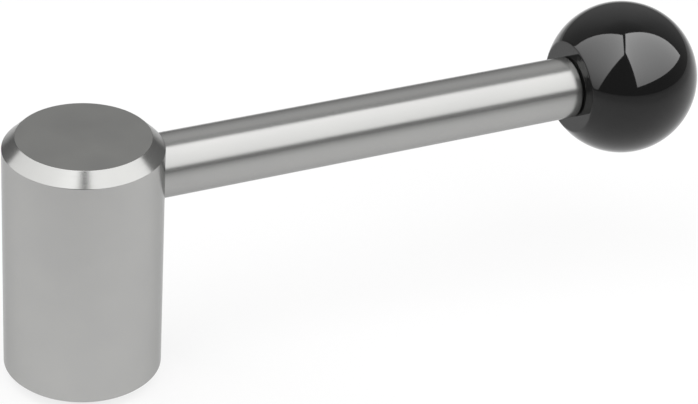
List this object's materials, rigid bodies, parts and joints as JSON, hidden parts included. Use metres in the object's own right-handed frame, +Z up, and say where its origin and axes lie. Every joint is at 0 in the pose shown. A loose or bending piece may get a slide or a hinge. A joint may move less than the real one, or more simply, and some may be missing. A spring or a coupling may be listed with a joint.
{
  "type": "adjustable clamping lever",
  "caption": "Adjustable clamping lever: tall steel hub with a horizontal bar arm and a black ball knob, indexing on a toothed threaded insert under a spring.",
  "frame": {"origin": "centre of the threaded insert's foot face, on the axis of the hub and of the tapped hole", "axes": "+Z up along the hub's axis, away from the clamped surface; +X along the arm, towards the ball knob"},
  "size_m": [0.1193, 0.025, 0.0464],
  "materials": {
    "hub_steel": "fine matt, blasted after turning",
    "arm_steel": "bright drawn and polished bar",
    "knob_plastic": "black, moulded, high gloss",
    "bush_brass": "turned",
    "insert_steel": "turned, zinc plated",
    "spring_steel": "drawn wire",
    "washer_steel": "turned",
    "ring_steel": "oiled spring steel, dark"
  },
  "bodies": {
    "insert": {"threaded_insert": "insert_steel", "compression_spring": "spring_steel"},
    "washer": {"thrust_washer": "washer_steel"},
    "lever": {"hub": "hub_steel", "lever_arm": "arm_steel", "ball_knob": "knob_plastic", "knob_bush": "bush_brass", "retaining_ring": "ring_steel"}
  },
  "joints": [
    {"name": "lift", "type": "slide", "parent": "insert", "child": "washer", "axis": [0, 0, 1], "range_m": [0, 0.006], "stiffness_N_per_m": 1470, "springref_m": -0.0096, "deforming": ["compression_spring"]},
    {"name": "swivel", "type": "hinge", "parent": "washer", "child": "lever", "pos_m": [0, 0, 0], "axis": [0, 0, 1], "continuous": true}
  ]
}
